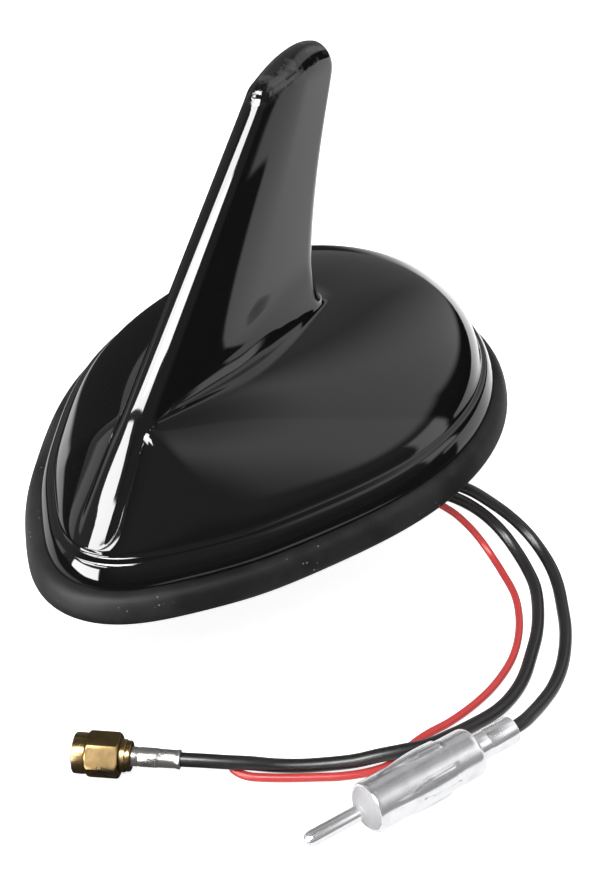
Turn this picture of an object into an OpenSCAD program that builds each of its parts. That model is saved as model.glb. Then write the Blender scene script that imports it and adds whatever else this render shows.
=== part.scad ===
// Shark fin roof aerial: one-piece cover on a rubber seal, with boards inside and three cables
// that leave through a slotted threaded stem. Millimetres, +Z up, roof plane at z = 0, stem axis
// at the origin, nose toward -X, tail toward +X.

/* [Overall size] */
// Length of the seal outline, nose to tail
base_length = 150.7; // [143:0.1:160]
// Width of the seal outline
base_width = 104.5; // [99:0.1:112]
// Height of the fin tip above the roof
fin_height = 89; // [82:0.5:97]

/* [Cover] */
// Wall thickness of the moulded cover
cover_wall = 2.4; // [2:0.1:2.8]
// Height of the step between skirt and dome
skirt_top = 11.6; // [11:0.1:12.4]
// Half thickness of the fin at its foot
fin_foot_half = 7.8; // [7.2:0.1:8.6]
// Half thickness of the fin at its top
fin_top_half = 4.4; // [4:0.1:4.8]

/* [Seal and base] */
// Height of the rubber seal
seal_height = 6.2; // [5.8:0.1:6.6]
// Thickness of the cast base plate
plate_thick = 3; // [2.6:0.1:3.4]
// Outer radius of the threaded stem
stem_r = 8.5; // [8.2:0.1:8.9]
// Bore radius of the stem
stem_bore_r = 5.8; // [5.7:0.1:6]
// Width of the cable slot in the stem
slot_width = 10; // [9.6:0.1:10.6]

/* [Boards] */
// Thickness of the amplifier board
board_thick = 1.6; // [1:0.2:2]
// Length of the amplifier board
board_length = 58; // [54:1:60]
// Width of the amplifier board
board_width = 34; // [30:1:36]
// Side of the satellite patch
patch_side = 25; // [20:1:26]

/* [Cables] */
// Diameter of both coaxial cables
coax_d = 2.8; // [2.6:0.1:2.8]
// Diameter of the feed wire
wire_d = 1.7; // [1.5:0.1:1.7]

/* [Screw plug] */
// Width across flats of the nut
nut_flats = 8; // [7.8:0.1:8]
// Length of the hexagon
nut_length = 6.5; // [6:0.1:7]
// Running clearance between nut and body, radial
nut_clearance = 0.05; // [0.03:0.01:0.08]

/* [Push-in plug] */
// Diameter of the slotted barrel
barrel_d = 10; // [9.6:0.1:10]
// Length of the slotted barrel
barrel_length = 25.5; // [24:0.5:27]
// Diameter of the centre pin
plug_pin_d = 3.1; // [2.9:0.1:3.3]
// Free length of the centre pin
plug_pin_length = 14; // [12:0.5:15]

/* [Hidden] */
$fn = 48;
eps = 0.01;

// plan outline as r(t) = sum of plan_k * cos(k t), seen from above
plan_k = [54.8, 34.8, 18.9, 4.5, 1.5, -0.4];
plan_shift = 24.2;
kx = base_length / 150.4;
ky = base_width / 106.2;
kz = fin_height / 89;

// skirt
skirt_off = 3.7;
plate_off = 6.5;
plate_low = 1.6;
plate_top = plate_low + plate_thick;

// leading and trailing edge of the fin in side view
lead_foot = [-53 * kx, skirt_top + 1.4];
lead_crease = [-35.2 * kx, 33.8 * kz];
lead_top = [14.6 * kx, 83.2 * kz];
trail_foot = [34.5 * kx, 30.5 * kz];
trail_low = [31.6 * kx, 43 * kz];
trail_mid = [35.4 * kx, 62 * kz];
trail_top = [43.2 * kx, 82.2 * kz];
foot_z = 30.8;
// half width of the nose ridge at its low end and at the crease where the fin starts
ridge_low = 4.9;
ridge_high = 2.9;
ring_n = 48;

// stem and cable exit
exit_turn = -61.4;
exit_dir = [cos(exit_turn), sin(exit_turn), 0];
exit_z = -4.5;
exit_out = 10.5;
cord_pitch = 3.05;
stem_low = -20;
grommet_clearance = 0.05;
floor_z = -22;

// routes of the three cables, from the grommet to the plug
gps_route = [[5.03, -9.22, -4.5], [8.89, -16.47, -4.5], [13.24, -24.5, -4.5],
    [17.65, -32.88, -4.84], [21.3, -39.98, -5.73], [24.47, -45.76, -7.93],
    [27.45, -49.98, -11.21], [29.38, -53.99, -14.83], [29.3, -58.2, -18], [26.8, -62.6, -20],
    [22.6, -66.8, -20.6], [17.4, -70.6, -20.6], [10.6, -73.8, -20.6], [3.2, -76.3, -20.6],
    [-4.8, -77.9, -20.6], [-11.6, -78.9, -20.6], [-18, -78.8, -20.5], [-24.2, -77.6, -20.2],
    [-30.9, -74.9, -19.6], [-36.2, -72.3, -19.1], [-40.4, -69.9, -18.8], [-44.01, -66.48, -18.61],
    [-47.31, -62.57, -18.91], [-50.2, -58.6, -19.8], [-53, -54, -20.4], [-55.7, -49.6, -20.6],
    [-58.4, -45.2, -20.2], [-61.16, -41.2, -19.06], [-63.78, -37.2, -18.33], [-65.9, -33.4, -17.9]];
fm_route = [[7.7, -7.76, -4.5], [12.13, -16.12, -4.5], [16.86, -24.91, -4.49],
    [21.33, -33.55, -4.51], [25.35, -41.62, -5.15], [28.5, -48.42, -7.58],
    [30.67, -53.84, -11.14], [32.2, -58.6, -14.8], [32.2, -63, -17.9], [30, -67.4, -20],
    [26, -71.3, -20.6], [20.4, -75, -20.6], [14, -78.3, -20.6], [7.6, -81.3, -20.6],
    [1.1, -83.5, -20.6], [-5.2, -84.9, -20.6], [-11.6, -85.4, -20.4], [-17.4, -85.2, -19.6],
    [-22, -84.9, -18.6], [-26.4, -84.5, -17.4]];
wire_route = [[2.35, -10.68, -4.5], [6.2, -18.4, -4.5], [10.8, -27.4, -4.6], [15.2, -36.2, -5],
    [18.6, -42.8, -6.4], [21.3, -47.2, -9.6], [23.7, -50.4, -13.8], [24.7, -53.8, -17.8],
    [23.2, -57.8, -20.6], [19, -62.3, -21.15], [13.4, -67.2, -21.15], [7.1, -70.7, -21.15],
    [0.8, -73, -21.15], [-5.5, -74.3, -21.15], [-11.6, -74.5, -21.15], [-17.8, -73.9, -21.15],
    [-24.2, -72.4, -21.15], [-30.4, -70.2, -21.15], [-35.4, -67.7, -21.15],
    [-39.8, -66.1, -21.15], [-43.89, -65.22, -21.15], [-47.21, -64.23, -21.15],
    [-50.8, -61.3, -21.15], [-54, -57.4, -21.15], [-56.4, -53.5, -21.15], [-58.8, -49.4, -21.15],
    [-60.9, -45.5, -21.15], [-62.53, -41.81, -21.15], [-62.63, -38.8, -21.15],
    [-61.4, -36.8, -21.15]];
wire_end_dir = [0.514, 0.858, 0];
wire_end_length = 1.2;

// screw plug: rear end of its crimp sleeve, and the way it points
sma_at = [-67.8, -29.5, -17.8];
sma_turn = 113.4;
nut_turn = 6;
sma_dir = [cos(sma_turn), sin(sma_turn), 0];
ferrule_d = 3.8;
ferrule_length = 9.6;
collar_d = 6.4;
collar_length = 2.1;
lip_d = 8;
lip_length = 2.7;
nut_inner_r = 3;
sma_pin_d = 0.92;

// push-in plug: rear end of its sleeve, and the way it points
din_at = [-30.2, -83.2, -17];
din_turn = 153.1;
din_dir = [cos(din_turn), sin(din_turn), 0];
sleeve_d = 5.8;
sleeve_length = 10.3;
boot_d = 5.6;
boot_length = 3;
pin_step = 0.7;

// boards
board_z = 8.4;
board_x = -8;
patch_x = 54 * kx;
patch_board_z = 8.4;
fin_board_thick = 1.2;

// cover and board screws
cover_posts = [[-43.5 * kx, 0], [75 * kx, 0], [44 * kx, 29.5 * ky],
    [44 * kx, -29.5 * ky], [-2 * kx, 29 * ky], [-2 * kx, -29 * ky]];
cover_post_top = [19.6, 19.4, 21.2, 21.2, 19, 19];
post_r = 3;
screw_r = 1.3;
screw_head_r = 2.6;
screw_head_h = 1.4;
board_holes = [[board_x - board_length / 2 + 4, board_width / 2 - 4],
    [board_x - board_length / 2 + 4, -board_width / 2 + 4],
    [board_x + board_length / 2 - 4, board_width / 2 - 4],
    [board_x + board_length / 2 - 4, -board_width / 2 + 4]];
patch_holes = [[patch_x, 16.6], [patch_x, -16.6]];

// ---- shape functions ----
function lerp(a, b, u) = a + (b - a) * u;
function unit(v) = v / norm(v);
function plan_r(t) = plan_k * [for (i = [0:len(plan_k) - 1]) cos(i * t)];
function plan_dr(t) = plan_k * [for (i = [0:len(plan_k) - 1]) -i * sin(i * t)];
function plan_tangent(t) = [kx * (plan_dr(t) * cos(t) - plan_r(t) * sin(t)),
    ky * (plan_dr(t) * sin(t) + plan_r(t) * cos(t))];
function plan_normal(t) = let (d = unit(plan_tangent(t))) [d[1], -d[0]];
// a point of the outline, moved inward by off
function plan(t, off) = [kx * (plan_r(t) * cos(t) - plan_shift), ky * plan_r(t) * sin(t)]
    - off * plan_normal(t);
function ring_t(i) = 360 * i / ring_n;
function plan_ring(off, z) = [for (i = [0:ring_n - 1]) let (p = plan(ring_t(i), off))
    [p[0], p[1], z]];

// share of the fin length that belongs to an outline point
function fin_share(t) = let (q = (plan(t, 0)[0] - plan(180, 0)[0]) / base_length)
    1 - pow(max(0, 1 - q), 1.6);
// leading edge point at fin height h, 0 at the foot and 1 at the top
function lead_at(h) = h < 0.3 ? lerp(lead_foot, lead_crease, h / 0.3)
    : lerp(lead_crease, lead_top, (h - 0.3) / 0.7);
// smooth curve through four points of the trailing edge
function trail_at(h) = let (p = [2 * trail_foot - trail_low, trail_foot, trail_low, trail_mid,
    trail_top, 2 * trail_top - trail_mid], k = min(2, floor(3 * h)), u = 3 * h - k,
    a = p[k], b = p[k + 1], c = p[k + 2], d = p[k + 3])
    (2 * b + (c - a) * u + (2 * a - 5 * b + 4 * c - d) * u * u
        + (3 * b - a - 3 * c + d) * u * u * u) / 2;
function fin_half(h) = lerp(fin_foot_half, fin_top_half, pow(h, 0.8));
// blunt nose and blunt tail of a section of length 1
function nose_close(s) = let (a = min(1, s / 0.06), b = min(1, (1 - s) / 0.06))
    sqrt(max(0, 1 - pow(1 - a, 2))) * sqrt(max(0, 1 - pow(1 - b, 2.4)));
function fin_profile(s) = nose_close(s) * (0.52 + 0.48 * sin(90 * min(1, s / 0.55)));
// height of the dome along the fin foot: up the nose ridge, then level to the tail
function ridge_z(x) = let (a = lead_foot[1] + (x - lead_foot[0]) * (lead_crease[1] - lead_foot[1])
        / (lead_crease[0] - lead_foot[0]),
    b = lerp(lead_crease[1] - 0.6, foot_z, (x - lead_crease[0]) / (trail_foot[0] - lead_crease[0])))
    (a + b - sqrt((a - b) * (a - b) + 6)) / 2;
// half width of the fin foot: the nose ridge narrows to the crease, then the fin widens
function foot_half(x) = let (u = min(1, max(0, (x - lead_crease[0])
        / (trail_foot[0] + 4 - lead_crease[0]))))
    x < lead_crease[0] ? lerp(ridge_low, ridge_high, (x - lead_foot[0]) / (lead_crease[0] - lead_foot[0]))
    : ridge_high + (fin_foot_half - ridge_high) * sin(90 * min(1, u / 0.5))
        + 3.6 * pow(max(0, sin(180 * u)), 1.5);
// how far the ridge falls off at a share of its half width
function ridge_drop(x, share) = 1.7 * pow(share, 4) * min(1, max(0, (lead_crease[0] + 6 - x) / 8));
function sided(i, y) = i == 0 || i == ring_n / 2 ? 0 : i < ring_n / 2 ? y : -y;
// ring of the fin: h height share, inset by w
function fin_ring(h, w) = [for (i = [0:ring_n - 1]) let (s = fin_share(ring_t(i)),
    a = lead_at(h), b = trail_at(h), x = lerp(a[0], b[0], s), zl = lerp(a[1], b[1], s),
    low = ridge_z(x) - ridge_drop(x, nose_close(s)), yf = (fin_half(h) - w) * fin_profile(s),
    z = h < 0.3 ? lerp(low, max(zl, low), pow(h / 0.3, 1.5)) : zl,
    y = h < 0.3 ? lerp((foot_half(x) - w) * nose_close(s), yf, h / 0.3) : yf)
    [lerp(a[0] + 1.3 * w, b[0] - w, s), sided(i, max(0.02 * nose_close(s), y)), z - w * 0.6]];
// ring where the dome meets the fin foot
function foot_ring(w) = [for (i = [0:ring_n - 1]) let (s = fin_share(ring_t(i)),
    x = lerp(lead_foot[0] + 1.3 * w, trail_foot[0] + 4 - w, s),
    y = max(0.02, foot_half(x) - w) * nose_close(s), drop = ridge_drop(x, 1) * nose_close(s))
    [x, sided(i, y), ridge_z(x) - max(min(1, s / 0.1), drop) - w]];
// rings between dome rim and fin foot, u from 0 to 1
function dome_n(t) = 1.27 + 0.95 * pow((1 + cos(t)) / 2, 12) + 0.1 * pow((1 - cos(t)) / 2, 8);
function dome_curve(u, n) = pow(1 - pow(1 - u, n), 1 / n);
function dome_ring(u, w, rim, foot) = [for (i = [0:ring_n - 1]) let (a = rim[i], b = foot[i],
    p = lerp(a, b, u))
    [p[0], p[1], lerp(a[2], b[2], dome_curve(u, dome_n(ring_t(i))))]];

dome_steps = [0.02, 0.06, 0.13, 0.25, 0.42, 0.62, 0.82];
fin_steps = [0.06, 0.14, 0.22, 0.285, 0.33, 0.43, 0.55, 0.67, 0.8, 0.92];
rim_out = plan_ring(7.5, skirt_top + 0.7);
foot_out = foot_ring(0);
rim_in = plan_ring(7.5 + cover_wall, skirt_top - 1);
foot_in = foot_ring(cover_wall);

// top of the fin: rings that draw in and round over
function top_ring(k, w) = let (base = fin_ring(1, w), draw = [0, 0.22, 0.5, 0.85][k],
    lift = [0, 3.3, 4.85, 5.6][k], mid = (lead_top[0] + trail_top[0]) / 2)
    [for (i = [0:ring_n - 1]) let (p = base[i], s = fin_share(ring_t(i)),
        hump = sin(180 * pow(s, 1.5)))
        [lerp(p[0], mid + 6, draw * 0.28), p[1] * (1 - draw), p[2] + lift * kz * (0.55 + 0.45 * s)
            + (fin_height - trail_top[1] - 5) * 0.9 * hump]];

outer_rings = concat([plan_ring(skirt_off, seal_height), plan_ring(skirt_off + 0.3, seal_height + 1.6),
    plan_ring(skirt_off + 0.9, skirt_top - 2.4), plan_ring(skirt_off + 1.8, skirt_top - 0.5),
    plan_ring(skirt_off + 2.6, skirt_top), plan_ring(skirt_off + 3.3, skirt_top - 0.1), rim_out],
    [for (u = dome_steps) dome_ring(u, 0, rim_out, foot_out)], [foot_out],
    [for (h = fin_steps) fin_ring(h, 0)], [for (k = [0:3]) top_ring(k, 0)]);
inner_steps = [0.06, 0.25, 0.6];
inner_fin = [0.14, 0.3, 0.5, 0.75, 0.93];
inner_rings = concat([plan_ring(skirt_off + cover_wall, seal_height),
    plan_ring(skirt_off + cover_wall + 1, skirt_top - 2.4), rim_in],
    [for (u = inner_steps) dome_ring(u, cover_wall, rim_in, foot_in)], [foot_in],
    [for (h = inner_fin) fin_ring(h, cover_wall)]);

// side faces between ring k and ring k + 1 of a flat point list, clockwise from outside
function band(k, n) = [for (i = [0:n - 1]) let (a = k * n + i, b = k * n + (i + 1) % n)
    each [[a, a + n, b], [b, a + n, b + n]]];
function rows(list) = [for (r = list) each r];
// strips that close a left-right symmetric ring
function cap(k, n, up) = [for (i = [0:n / 2 - 1]) let (a = k * n + i, b = k * n + i + 1,
    c = k * n + (n - i) % n, d = k * n + n - i - 1,
    f = i == 0 ? [[a, d, b]] : i == n / 2 - 1 ? [[a, c, b]] : [[a, c, d], [a, d, b]])
    each up ? f : [for (g = f) [g[2], g[1], g[0]]]];
function flip(list) = [for (i = [len(list) - 1:-1:0]) list[i]];

// tube with flat ends square to dir0 and dir1
function tube_ring(p, d, r, n) = let (a = unit(cross(d, [0, 0, 1])), b = cross(d, a))
    [for (i = [0:n - 1]) p + r * (cos(360 * i / n + 22.5) * a + sin(360 * i / n + 22.5) * b)];
module tube(path, r, dir0, dir1, n = 8) {
    last = len(path) - 1;
    rings = [for (k = [0:last]) tube_ring(path[k],
        k == 0 ? dir0 : k == last ? dir1 : unit(path[k + 1] - path[k - 1]), r, n)];
    polyhedron(points = rows(rings), convexity = 8,
        faces = concat([for (k = [0:last - 1]) each band(k, n)],
            [[for (i = [0:n - 1]) i]], [[for (i = [n - 1:-1:0]) last * n + i]]));
}
module along(at, turn) {
    translate(at) rotate([0, 0, turn]) rotate([0, 90, 0]) children();
}
// route points with their ends set exactly on the grommet face and the plug
function route_to(list, end) = concat(list, [end]);
function exit_point(k) = exit_out * exit_dir + cord_pitch * k * [-exit_dir[1], exit_dir[0], 0]
    + [0, 0, exit_z];
function route_from(list, k) = concat([exit_point(k)], [for (i = [1:len(list) - 1]) list[i]]);

// ---- cover, seal and base ----
module cover() {
    all_rings = concat(flip(inner_rings), outer_rings);
    last = len(all_rings) - 1;
    color([0.02, 0.02, 0.022]) union() {
        polyhedron(points = rows(all_rings), convexity = 12,
            faces = concat(cap(0, ring_n, false), [for (k = [0:last - 1]) each band(k, ring_n)],
                cap(last, ring_n, true)));
        for (i = [0:len(cover_posts) - 1]) translate([cover_posts[i][0], cover_posts[i][1], plate_top])
            difference() {
                cylinder(r = post_r, h = cover_post_top[i] - plate_top);
                translate([0, 0, -1]) cylinder(r = screw_r, h = 8.2);
            }
    }
}

seal_profile = [[1.2, 0], [0.5, 0.4], [0, 1.2], [0.7, 4.3], [1.3, 5.3], [2.2, seal_height - 0.2],
    [3, seal_height], [plate_off, seal_height], [plate_off, 0]];
module gasket() {
    n = len(seal_profile);
    pts = rows([for (q = seal_profile) plan_ring(q[0], q[1])]);
    faces = concat([for (k = [0:n - 2]) each band(k, ring_n)],
        [for (i = [0:ring_n - 1]) let (a = (n - 1) * ring_n + i, b = (n - 1) * ring_n + (i + 1) % ring_n)
            each [[a, i, b], [b, i, (i + 1) % ring_n]]]);
    color([0.05, 0.05, 0.05]) polyhedron(points = pts, faces = faces, convexity = 6);
}

module base_plate() {
    color([0.55, 0.56, 0.58]) difference() {
        union() {
            translate([0, 0, plate_low]) linear_extrude(plate_thick)
                polygon([for (i = [0:ring_n - 1]) plan(ring_t(i), plate_off)]);
            translate([0, 0, -8.5]) cylinder(r = stem_r - 0.6, h = 8.5 + plate_low + eps);
            translate([0, 0, stem_low + 0.8]) cylinder(r = stem_r, h = -8.5 - stem_low - 0.8);
            translate([0, 0, stem_low]) cylinder(r1 = stem_r - 0.8, r2 = stem_r, h = 0.8);
            for (p = board_holes) translate([p[0], p[1], plate_top - 1])
                cylinder(r = 2.6, h = board_z - plate_top + 1);
            for (p = patch_holes) translate([p[0], p[1], plate_top - 1])
                cylinder(r = 2.6, h = patch_board_z - plate_top + 1);
        }
        translate([0, 0, stem_low - 1]) cylinder(r = stem_bore_r, h = plate_top - stem_low + 2);
        rotate([0, 0, exit_turn]) translate([0, -slot_width / 2, stem_low - 1])
            cube([stem_r + 2, slot_width, -stem_low]);
        for (p = cover_posts) translate([p[0], p[1], plate_low - 1]) {
            cylinder(r = screw_r + 0.2, h = plate_thick + 2);
            cylinder(r = screw_head_r + 0.2, h = 1 + screw_head_h);
        }
        for (p = concat(board_holes, patch_holes)) translate([p[0], p[1], plate_top - 2])
            cylinder(r = 0.9, h = board_z);
    }
}

module grommet() {
    color([0.06, 0.06, 0.06]) difference() {
        union() {
            translate([0, 0, -7]) cylinder(r = stem_bore_r - grommet_clearance, h = 7 + plate_top);
            rotate([0, 0, exit_turn]) translate([0, -slot_width / 2 + grommet_clearance, -7])
                cube([exit_out, slot_width - 2 * grommet_clearance, 6 - grommet_clearance]);
        }
        translate([0, 0, plate_top - 1.2]) cylinder(r = stem_bore_r - 1, h = 2);
    }
}

module cover_screw() {
    color([0.7, 0.7, 0.72]) for (p = cover_posts) translate([p[0], p[1], plate_low])
        difference() {
            union() {
                cylinder(r = screw_head_r, h = screw_head_h);
                cylinder(r = screw_r, h = 9);
            }
            translate([0, 0, -1]) cylinder(r = 1, h = 1.8, $fn = 6);
        }
}

// ---- boards and what stands on them ----
module main_board() {
    color([0.05, 0.3, 0.12]) difference() {
        translate([board_x - board_length / 2, -board_width / 2, board_z])
            cube([board_length, board_width, board_thick]);
        for (p = board_holes) translate([p[0], p[1], board_z - 1]) cylinder(r = 1.1, h = 4);
        translate([0, 0, board_z - 1]) cylinder(r = 1.45, h = 4);
        translate([0, 3.2, board_z - 1]) cylinder(r = 1.45, h = 4);
        translate([0, -3, board_z - 1]) cylinder(r = 0.9, h = 4);
    }
}
module board_screw() {
    color([0.75, 0.75, 0.77]) {
        for (p = concat(board_holes, patch_holes))
            translate([p[0], p[1], board_z + board_thick]) difference() {
                union() {
                    cylinder(r = 1.8, h = 1.2);
                    translate([0, 0, -5]) cylinder(r = 0.85, h = 5 + eps);
                }
                translate([0, 0, 0.6]) cylinder(r = 0.7, h = 1, $fn = 6);
            }
    }
}
module shield_can() {
    color([0.78, 0.78, 0.8]) translate([board_x - 16, -board_width / 2 + 1.5, board_z + board_thick])
        difference() {
            cube([18, 8, 4]);
            translate([0.3, 0.3, -1]) cube([17.4, 7.4, 4.7]);
        }
}
module tuner_chip() {
    color([0.03, 0.03, 0.03]) translate([board_x - 10, -board_width / 2 + 3.5, board_z + board_thick])
        cube([5, 4, 0.9]);
}
module coil_former() {
    color([0.9, 0.9, 0.86]) translate([board_x + 15, 7.5, board_z + board_thick]) difference() {
        union() {
            cylinder(r = 2, h = 6);
            cylinder(r = 3.4, h = 0.6);
            translate([0, 0, 5.4]) cylinder(r = 3.4, h = 0.6);
        }
        translate([0, 0, 1]) cylinder(r = 1, h = 6);
    }
}
module coil() {
    color([0.72, 0.4, 0.2]) translate([board_x + 15, 7.5, board_z + board_thick + 0.6])
        difference() {
            for (k = [0:5]) translate([0, 0, k * 0.8]) cylinder(r1 = 3, r2 = 2.8, h = 0.8);
            translate([0, 0, -1]) cylinder(r = 2, h = 7);
        }
}
socket_z = board_z + board_thick;
socket_h = 5;
module fin_socket() {
    color([0.85, 0.85, 0.8]) translate([board_x - 4, -2, socket_z]) difference() {
        cube([26, 4, socket_h]);
        translate([1, 2 - fin_board_thick / 2, 1.5]) cube([24, fin_board_thick, socket_h]);
    }
}
module fin_board() {
    color([0.08, 0.32, 0.15]) translate([0, fin_board_thick / 2, 0]) rotate([90, 0, 0])
        linear_extrude(fin_board_thick) polygon([[board_x - 3, socket_z + 1.5],
            [board_x + 21, socket_z + 1.5], [board_x + 21, 30 * kz], [24 * kx, 42 * kz],
            [27 * kx, 60 * kz], [29 * kx, 70 * kz], [14 * kx, 70 * kz], [-12 * kx, 44 * kz],
            [board_x - 3, 36 * kz]]);
}
module top_load() {
    color([0.8, 0.8, 0.82]) translate([15 * kx, 0, 62 * kz]) difference() {
        translate([0, -1.2, 0]) cube([11 * kx, 2.4, 8 * kz + 0.6]);
        translate([-1, -fin_board_thick / 2, -1]) cube([11 * kx + 2, fin_board_thick, 8 * kz + 1]);
    }
}
module patch_board() {
    color([0.05, 0.3, 0.12]) difference() {
        translate([patch_x - 15, -20, patch_board_z]) cube([30, 40, board_thick]);
        for (p = patch_holes) translate([p[0], p[1], patch_board_z - 1]) cylinder(r = 1.1, h = 4);
        translate([patch_x + 2, 0, patch_board_z - 1]) cylinder(r = 0.5, h = 4);
    }
}
module patch() {
    color([0.86, 0.84, 0.76]) difference() {
        translate([patch_x - patch_side / 2, -patch_side / 2, patch_board_z + board_thick])
            cube([patch_side, patch_side, 4]);
        translate([patch_x + 2, 0, patch_board_z]) cylinder(r = 0.5, h = 9);
    }
}
module patch_pin() {
    color([0.8, 0.78, 0.7]) translate([patch_x + 2, 0, patch_board_z - 0.5]) {
        cylinder(r = 0.5, h = board_thick + 4.5 + eps);
        translate([0, 0, board_thick + 4.5]) cylinder(r = 1.2, h = 0.3);
    }
}
module inner_coax() {
    color([0.04, 0.04, 0.04]) for (y = [0, 3.2]) translate([0, y, plate_top - 1.2])
        cylinder(d = coax_d, h = board_z + board_thick - plate_top + 1.1);
}
module inner_wire() {
    color([0.6, 0.05, 0.05]) translate([0, -3, plate_top - 1.2])
        cylinder(d = wire_d, h = board_z + board_thick - plate_top + 1.1);
}

// ---- cables ----
module coax_gps() {
    color([0.03, 0.03, 0.03]) tube(route_to(route_from(gps_route, 0), sma_at), coax_d / 2,
        exit_dir, sma_dir);
}
module coax_fm() {
    color([0.03, 0.03, 0.03]) tube(route_to(route_from(fm_route, 1), din_at), coax_d / 2,
        exit_dir, din_dir);
}
module feed_wire() {
    color([0.6, 0.04, 0.04]) tube(route_from(wire_route, -1), wire_d / 2, exit_dir, wire_end_dir);
}
module wire_tip() {
    color([0.8, 0.78, 0.74]) along(wire_route[len(wire_route) - 1],
        atan2(wire_end_dir[1], wire_end_dir[0])) cylinder(r = 0.45, h = wire_end_length);
}

// ---- screw plug, along its own axis from the rear end ----
nut_back = ferrule_length + collar_length;
nut_front = nut_back + nut_length + lip_length;
module sma_ferrule() {
    color([0.8, 0.8, 0.82]) along(sma_at, sma_turn) cylinder(d = ferrule_d, h = ferrule_length);
}
module sma_body() {
    color([0.85, 0.65, 0.3]) along(sma_at, sma_turn) {
        difference() {
            union() {
                translate([0, 0, ferrule_length]) cylinder(d = collar_d, h = collar_length);
                translate([0, 0, ferrule_length]) cylinder(r = 2.3, h = nut_front - ferrule_length - 2.6);
                translate([0, 0, nut_back + 2]) cylinder(r = 2.7, h = 1);
            }
            translate([0, 0, ferrule_length + 3]) cylinder(r = 2.05, h = 12);
        }
    }
}
module sma_insulator() {
    color([0.93, 0.93, 0.9]) along(sma_at, sma_turn) difference() {
        translate([0, 0, ferrule_length + 3]) cylinder(r = 2.05, h = nut_front - ferrule_length - 5.6);
        translate([0, 0, ferrule_length + 2]) cylinder(d = sma_pin_d, h = 20);
    }
}
module sma_pin() {
    color([0.9, 0.7, 0.3]) along(sma_at, sma_turn) translate([0, 0, ferrule_length + 3]) {
        cylinder(d = sma_pin_d, h = nut_front - ferrule_length - 4.2);
        translate([0, 0, nut_front - ferrule_length - 4.2]) cylinder(d1 = sma_pin_d, d2 = 0.4, h = 0.4);
    }
}
module sma_nut() {
    color([0.85, 0.65, 0.3]) along(sma_at, sma_turn) difference() {
        union() {
            translate([0, 0, nut_back + nut_clearance]) intersection() {
                rotate([0, 0, 30 + nut_turn]) cylinder(r = nut_flats / 2 / cos(30), h = nut_length, $fn = 6);
                union() {
                    cylinder(r1 = nut_flats / 2 + 0.1, r2 = nut_flats / 2 + 0.7, h = 0.4);
                    translate([0, 0, 0.4]) cylinder(r = nut_flats / 2 + 0.7, h = nut_length - 0.8);
                    translate([0, 0, nut_length - 0.4])
                        cylinder(r1 = nut_flats / 2 + 0.7, r2 = nut_flats / 2 + 0.1, h = 0.4);
                }
            }
            translate([0, 0, nut_back + nut_length]) cylinder(d = lip_d, h = lip_length - 0.3);
            translate([0, 0, nut_front - 0.3]) cylinder(d1 = lip_d, d2 = lip_d - 0.6, h = 0.3);
        }
        translate([0, 0, nut_back - 1]) cylinder(r = 2.3 + nut_clearance, h = 4);
        translate([0, 0, nut_back + 2 - nut_clearance]) cylinder(r = 2.7 + nut_clearance, h = 2);
        translate([0, 0, nut_back + 3 + nut_clearance]) cylinder(r = nut_inner_r, h = 9);
    }
}

// ---- push-in plug, along its own axis from the rear end ----
rim_at = sleeve_length + barrel_length;
module din_sleeve() {
    color([0.75, 0.75, 0.76]) along(din_at, din_turn) difference() {
        union() {
            translate([0, 0, 0.5]) cylinder(d = sleeve_d, h = sleeve_length - 0.5);
            cylinder(d1 = sleeve_d - 0.6, d2 = sleeve_d, h = 0.5);
        }
        translate([0, 0, -1]) cylinder(d = boot_d - 1, h = boot_length + 1);
        translate([0, 0, boot_length - 0.5]) cylinder(d = coax_d, h = sleeve_length);
    }
}
module din_boot() {
    color([0.05, 0.05, 0.05]) along(din_at, din_turn) difference() {
        cylinder(d = boot_d - 1, h = boot_length);
        translate([0, 0, boot_length - 0.6]) cylinder(d = coax_d, h = 2);
    }
}
module din_barrel() {
    color([0.75, 0.75, 0.76]) along(din_at, din_turn) difference() {
        union() {
            translate([0, 0, sleeve_length + 0.6]) cylinder(d = barrel_d, h = barrel_length - 1);
            translate([0, 0, sleeve_length]) cylinder(d1 = barrel_d - 1.2, d2 = barrel_d, h = 0.6);
            translate([0, 0, rim_at - 0.4]) cylinder(d1 = barrel_d, d2 = barrel_d - 0.6, h = 0.4);
        }
        translate([0, 0, sleeve_length + 1.2]) cylinder(d = barrel_d - 1.6, h = barrel_length);
        translate([0, 0, sleeve_length - 1]) cylinder(d = 4, h = 3);
        for (k = [0:3]) rotate([0, 0, 45 + 90 * k]) {
            translate([barrel_d / 2 - 1.2, -1.6, sleeve_length + 8]) cube([2, 0.3, barrel_length - 14]);
            translate([barrel_d / 2 - 1.2, 1.3, sleeve_length + 8]) cube([2, 0.3, barrel_length - 14]);
            translate([barrel_d / 2 - 1.2, -1.6, sleeve_length + 8]) cube([2, 3.2, 0.3]);
        }
    }
}
module din_insulator() {
    color([0.94, 0.94, 0.92]) along(din_at, din_turn) difference() {
        union() {
            translate([0, 0, rim_at - 12]) cylinder(d = barrel_d - 1.6, h = 12);
            translate([0, 0, rim_at]) scale([1, 1, 0.42]) intersection() {
                sphere(d = barrel_d - 1.6);
                cylinder(d = barrel_d, h = barrel_d);
            }
        }
        translate([0, 0, rim_at - 13]) cylinder(d = plug_pin_d - pin_step, h = 20);
    }
}
module din_pin() {
    color([0.82, 0.82, 0.83]) along(din_at, din_turn) {
        translate([0, 0, rim_at - 12]) cylinder(d = plug_pin_d - pin_step, h = 14);
        translate([0, 0, rim_at + 2]) cylinder(d = plug_pin_d, h = plug_pin_length - 3.2);
        translate([0, 0, rim_at + plug_pin_length - 1.2])
            cylinder(d1 = plug_pin_d, d2 = plug_pin_d - 1.2, h = 0.9);
        translate([0, 0, rim_at + plug_pin_length - 0.3])
            cylinder(d1 = plug_pin_d - 1.2, d2 = plug_pin_d - 2.2, h = 0.3);
    }
}

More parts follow.
